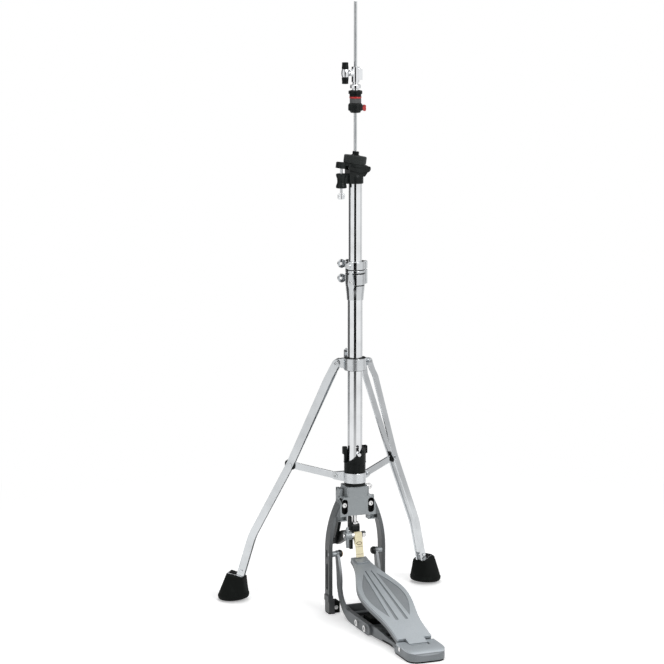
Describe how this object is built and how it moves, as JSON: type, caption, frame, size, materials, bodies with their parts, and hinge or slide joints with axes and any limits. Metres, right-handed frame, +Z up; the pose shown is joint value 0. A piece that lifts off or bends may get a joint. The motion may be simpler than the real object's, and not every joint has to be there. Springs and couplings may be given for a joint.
{
  "type": "hi-hat stand",
  "caption": "Upright hi-hat stand: a foot pedal pulls a rod down through a telescoping post that carries a tilting cymbal seat and a rod clutch, on folding swivel legs.",
  "frame": {"origin": "on the floor, under the middle of the box round the whole stand", "axes": "+Z up along the post, the pedal points along -Y and the legs stand behind the post"},
  "size_m": [0.4635, 0.5449, 1.164],
  "materials": {
    "chrome": "polished chrome plate",
    "steel": "bright steel",
    "cast_grey": "grey metallic coat on a casting",
    "board_grey": "light grey metallic coat",
    "black_metal": "black coat",
    "black_plastic": "black moulded plastic",
    "rubber": "black rubber",
    "felt_dark": "dark felt",
    "felt_grey": "grey felt",
    "red_plastic": "red plastic",
    "webbing": "cream webbing"
  },
  "bodies": {
    "stand": {"pedal_frame": "cast_grey", "lower_tube": "chrome", "height_clamp": "chrome", "tube_bush": "black_plastic", "frame_bolts": "chrome", "frame_feet": "rubber", "lever_bracket": "black_metal", "fulcrum_axle": "steel", "fold_bolts": "chrome", "fold_nuts": "black_metal", "return_spring": "steel", "swivel_bush": "black_plastic"},
    "upper_post": {"upper_tube": "chrome", "tilter_body": "black_metal", "tilt_pin": "steel"},
    "seat": {"tilt_plate": "black_metal", "seat_felt": "felt_dark", "seat_sleeve": "black_plastic"},
    "tilt_adjuster": {"tilt_screw": "chrome"},
    "memory": {"memory_lock": "chrome"},
    "memory_wing": {"memory_bolt": "chrome"},
    "clamp_wing": {"clamp_bolt": "chrome"},
    "rod": {"pull_rod": "chrome", "lower_rod": "chrome", "rod_connector": "chrome", "rod_link": "black_metal"},
    "clutch": {"clutch_body": "chrome", "clutch_sleeve": "black_metal", "clutch_ring": "red_plastic", "clutch_felt": "felt_grey", "clutch_nut": "black_metal"},
    "clutch_handle": {"clutch_bolt": "chrome", "clutch_tips": "black_plastic"},
    "clutch_release": {"clutch_lever": "red_plastic"},
    "lever": {"lever_arm": "black_metal", "strap_clamp": "cast_grey", "strap_axle": "chrome"},
    "webbing": {"strap": "webbing"},
    "base": {"side_plates": "cast_grey", "base_frame": "cast_grey", "base_rubbers": "rubber", "rail_screws": "chrome", "heel_plate": "cast_grey", "heel_pin": "steel"},
    "board": {"footboard": "board_grey", "toe_clamp": "cast_grey"},
    "dial": {"tension_dial": "black_plastic"},
    "tension": {"tension_stud": "steel"},
    "swivel": {"lower_collar": "chrome"},
    "collar": {"upper_collar": "chrome"},
    "collar_wing": {"collar_bolt": "chrome"},
    "leg_left": {"left_leg": "chrome", "left_foot": "rubber"},
    "leg_right": {"right_leg": "chrome", "right_foot": "rubber"},
    "brace_left": {"left_brace": "chrome", "left_spacer": "black_plastic"},
    "brace_right": {"right_brace": "chrome", "right_spacer": "black_plastic"}
  },
  "joints": [
    {"name": "footboard_press", "type": "hinge", "parent": "base", "child": "board", "pos_m": [-0.00626, -0.22352, 0.015], "axis": [-1, 0, 0], "range_deg": [0, 7.89], "stiffness_Nm_per_rad": 40, "springref_deg": -5.73, "deforming": ["return_spring", "strap"]},
    {"name": "pedal_fold", "type": "hinge", "parent": "stand", "child": "base", "pos_m": [-0.00626, 0.07948, 0.117], "axis": [-1, 0, 0], "range_deg": [0, 85], "deforming": ["strap"]},
    {"name": "lever_swing", "type": "hinge", "parent": "stand", "child": "lever", "pos_m": [-0.00626, 0.12948, 0.133], "axis": [1, 0, 0], "range_deg": [0, 38.61]},
    {"name": "strap_swing", "type": "hinge", "parent": "lever", "child": "webbing", "pos_m": [-0.00626, 0.07548, 0.152], "axis": [1, 0, 0], "range_deg": [-24.07, 0]},
    {"name": "rod_pull", "type": "slide", "parent": "stand", "child": "rod", "axis": [0, 0, -1], "range_m": [0, 0.0281]},
    {"name": "clutch_slide", "type": "slide", "parent": "rod", "child": "clutch", "axis": [0, 0, 1], "range_m": [-0.015, 0.1]},
    {"name": "clutch_handle_turn", "type": "hinge", "parent": "clutch", "child": "clutch_handle", "pos_m": [-0.02676, 0.08948, 1.0318], "axis": [1, 0, 0], "continuous": true},
    {"name": "clutch_release_press", "type": "hinge", "parent": "clutch", "child": "clutch_release", "pos_m": [0.00445, 0.08948, 0.9665], "axis": [0, 1, 0], "range_deg": [0, 10], "stiffness_Nm_per_rad": 0.4, "springref_deg": -5.73},
    {"name": "post_height", "type": "slide", "parent": "stand", "child": "upper_post", "axis": [0, 0, 1], "range_m": [0, 0.025]},
    {"name": "seat_tilt", "type": "hinge", "parent": "upper_post", "child": "seat", "pos_m": [0.01124, 0.08948, 0.854], "axis": [0, 1, 0], "range_deg": [-5, 1]},
    {"name": "tilt_screw_turn", "type": "hinge", "parent": "upper_post", "child": "tilt_adjuster", "pos_m": [-0.03426, 0.08948, 0.846], "axis": [0, 0, 1], "continuous": true},
    {"name": "memory_height", "type": "slide", "parent": "upper_post", "child": "memory", "axis": [0, 0, 1], "range_m": [0, 0.09]},
    {"name": "memory_wing_turn", "type": "hinge", "parent": "memory", "child": "memory_wing", "pos_m": [-0.00626, 0.11778, 0.6713], "axis": [1, 0, 0], "continuous": true},
    {"name": "clamp_wing_turn", "type": "hinge", "parent": "stand", "child": "clamp_wing", "pos_m": [-0.00626, 0.11778, 0.6435], "axis": [1, 0, 0], "continuous": true},
    {"name": "dial_turn", "type": "hinge", "parent": "stand", "child": "dial", "pos_m": [-0.00626, 0.08948, 0.2736], "axis": [0, 0, 1], "range_deg": [-50, 50]},
    {"name": "tension_lift", "type": "slide", "parent": "stand", "child": "tension", "axis": [0, 0, 1], "range_m": [-0.0088, 0.0088]},
    {"name": "tripod_swivel", "type": "hinge", "parent": "stand", "child": "swivel", "pos_m": [-0.00626, 0.08948, 0.2628], "axis": [0, 0, 1], "range_deg": [-45, 45]},
    {"name": "tripod_fold", "type": "slide", "parent": "swivel", "child": "collar", "axis": [0, 0, 1], "range_m": [0, 0.09314]},
    {"name": "collar_wing_turn", "type": "hinge", "parent": "collar", "child": "collar_wing", "pos_m": [-0.00626, 0.12948, 0.483], "axis": [0, 1, 0], "continuous": true},
    {"name": "left_leg_fold", "type": "hinge", "parent": "collar", "child": "leg_left", "pos_m": [-0.03384, 0.11103, 0.483], "axis": [-0.6157, -0.788, 0], "range_deg": [0, 18.05]},
    {"name": "right_leg_fold", "type": "hinge", "parent": "collar", "child": "leg_right", "pos_m": [0.0231, 0.10854, 0.483], "axis": [-0.5446, 0.8387, 0], "range_deg": [0, 18.05]},
    {"name": "left_brace_fold", "type": "hinge", "parent": "swivel", "child": "brace_left", "pos_m": [-0.0362, 0.11287, 0.2628], "axis": [0.6157, 0.788, 0], "range_deg": [0, 66.1]},
    {"name": "right_brace_fold", "type": "hinge", "parent": "swivel", "child": "brace_right", "pos_m": [0.02561, 0.11017, 0.2628], "axis": [0.5446, -0.8387, 0], "range_deg": [0, 66.1]}
  ],
  "couplings": [
    {"joint": "lever_swing", "follows": "footboard_press", "ratio": 4.889},
    {"joint": "strap_swing", "follows": "footboard_press", "ratio": -3.0455},
    {"joint": "rod_pull", "follows": "footboard_press", "m_per_rad": 0.20342},
    {"joint": "tension_lift", "follows": "dial_turn", "m_per_rad": -0.010027},
    {"joint": "left_leg_fold", "follows": "tripod_fold", "rad_per_m": 3.3727},
    {"joint": "right_leg_fold", "follows": "tripod_fold", "rad_per_m": 3.3727},
    {"joint": "left_brace_fold", "follows": "tripod_fold", "rad_per_m": 12.376},
    {"joint": "right_brace_fold", "follows": "tripod_fold", "rad_per_m": 12.376}
  ]
}
